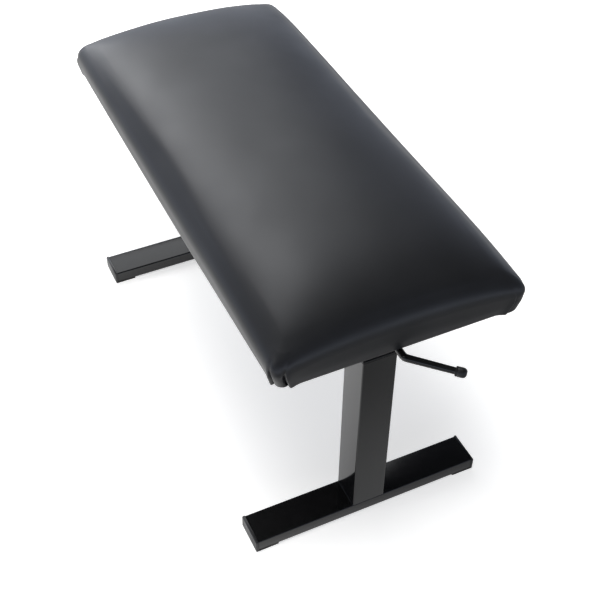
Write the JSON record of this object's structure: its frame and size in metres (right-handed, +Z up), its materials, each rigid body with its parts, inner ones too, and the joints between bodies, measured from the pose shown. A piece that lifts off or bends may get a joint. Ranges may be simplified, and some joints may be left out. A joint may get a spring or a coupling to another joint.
{
  "type": "folding keyboard bench",
  "caption": "Padded keyboard bench on two folding T-legs with lever-released telescopic height adjustment.",
  "frame": {"origin": "on the floor, below the middle of the bench's overall length and width", "axes": "+X along the seat towards the end with the height lever, +Y across the seat towards the side that the lever bends to, +Z up"},
  "size_m": [0.8222, 0.355, 0.469],
  "materials": {
    "black_leather": "satin black artificial leather, smooth, soft wide sheen",
    "foam": "cut upholstery foam",
    "plywood": "raw birch plywood",
    "lining_cloth": "thin black bonded lining cloth",
    "black_paint": "fine satin black powder coat on steel",
    "black_plastic": "moulded matt black plastic",
    "zinc_steel": "bright zinc-plated steel",
    "polished_rod": "ground and polished steel",
    "nylon": "natural nylon"
  },
  "bodies": {
    "seat": {"seat_cover": "black_leather", "foam_pad": "foam", "seat_board": "plywood", "dust_cover": "lining_cloth", "near_bracket": "black_paint", "near_bracket_screw_1": "zinc_steel", "near_bracket_screw_2": "zinc_steel", "near_bracket_screw_3": "zinc_steel", "near_bracket_screw_4": "zinc_steel", "far_bracket": "black_paint", "far_bracket_screw_1": "zinc_steel", "far_bracket_screw_2": "zinc_steel", "far_bracket_screw_3": "zinc_steel", "far_bracket_screw_4": "zinc_steel", "lever_clip_near": "black_plastic", "lever_clip_middle": "black_plastic", "lever_clip_far": "black_plastic"},
    "near_column": {"near_inner_tube": "zinc_steel", "near_glide": "nylon", "near_head_plate": "zinc_steel", "near_gas_cylinder": "black_paint", "near_pivot_bolt_left": "zinc_steel", "near_pivot_bolt_right": "zinc_steel", "near_pivot_bush_left": "nylon", "near_pivot_bush_right": "nylon"},
    "near_leg": {"near_foot": "black_paint", "near_foot_cap_left": "black_plastic", "near_foot_cap_right": "black_plastic", "near_post": "black_paint", "near_guide_collar": "black_plastic", "near_gas_rod": "polished_rod", "near_rod_nut": "zinc_steel"},
    "far_column": {"far_inner_tube": "zinc_steel", "far_glide": "nylon", "far_head_plate": "zinc_steel", "far_gas_cylinder": "black_paint", "far_pivot_bolt_left": "zinc_steel", "far_pivot_bolt_right": "zinc_steel", "far_pivot_bush_left": "nylon", "far_pivot_bush_right": "nylon"},
    "far_leg": {"far_foot": "black_paint", "far_foot_cap_left": "black_plastic", "far_foot_cap_right": "black_plastic", "far_post": "black_paint", "far_guide_collar": "black_plastic", "far_gas_rod": "polished_rod", "far_rod_nut": "zinc_steel"},
    "lever": {"lever_rod": "black_paint", "lever_grip": "black_plastic"},
    "near_release": {"near_release_pin": "polished_rod"},
    "far_release": {"far_release_pin": "polished_rod"},
    "push_rod": {"far_push_rod": "zinc_steel"},
    "near_clamp": {"near_clamp_stud": "zinc_steel", "near_clamp_washer": "zinc_steel", "near_clamp_knob": "black_plastic"},
    "far_clamp": {"far_clamp_stud": "zinc_steel", "far_clamp_washer": "zinc_steel", "far_clamp_knob": "black_plastic"}
  },
  "joints": [
    {"name": "near_fold", "type": "hinge", "parent": "seat", "child": "near_column", "pos_m": [0.27511, 0, 0.33803], "axis": [0, 1, 0], "range_deg": [0, 90]},
    {"name": "far_fold", "type": "hinge", "parent": "seat", "child": "far_column", "pos_m": [-0.33689, 0, 0.28503], "axis": [0, -1, 0], "range_deg": [0, 90]},
    {"name": "near_height", "type": "slide", "parent": "near_column", "child": "near_leg", "axis": [0, 0, -1], "range_m": [0, 0.11]},
    {"name": "far_height", "type": "slide", "parent": "far_column", "child": "far_leg", "axis": [0, 0, -1], "range_m": [0, 0.11]},
    {"name": "lever_turn", "type": "hinge", "parent": "seat", "child": "lever", "pos_m": [-0.03089, 0, 0.37203], "axis": [1, 0, 0], "range_deg": [0, 30], "stiffness_Nm_per_rad": 0.8, "springref_deg": -20.05},
    {"name": "near_pin_press", "type": "slide", "parent": "near_column", "child": "near_release", "axis": [0, 0, -1], "range_m": [0, 0.003]},
    {"name": "far_pin_press", "type": "slide", "parent": "far_column", "child": "far_release", "axis": [0, 0, -1], "range_m": [0, 0.003]},
    {"name": "far_push", "type": "slide", "parent": "seat", "child": "push_rod", "axis": [0, 0, -1], "range_m": [0, 0.003]},
    {"name": "near_clamp_turn", "type": "hinge", "parent": "near_column", "child": "near_clamp", "pos_m": [0.26408, -0.035, 0.327], "axis": [0, -1, 0], "range_deg": [0, 360]},
    {"name": "far_clamp_turn", "type": "hinge", "parent": "far_column", "child": "far_clamp", "pos_m": [-0.32586, -0.035, 0.274], "axis": [0, -1, 0], "range_deg": [0, 360]}
  ],
  "couplings": [
    {"joint": "far_height", "follows": "near_height", "ratio": 1},
    {"joint": "near_pin_press", "follows": "lever_turn", "m_per_rad": 0.0057295},
    {"joint": "far_pin_press", "follows": "lever_turn", "m_per_rad": 0.0057295},
    {"joint": "far_push", "follows": "lever_turn", "m_per_rad": 0.0057295}
  ]
}
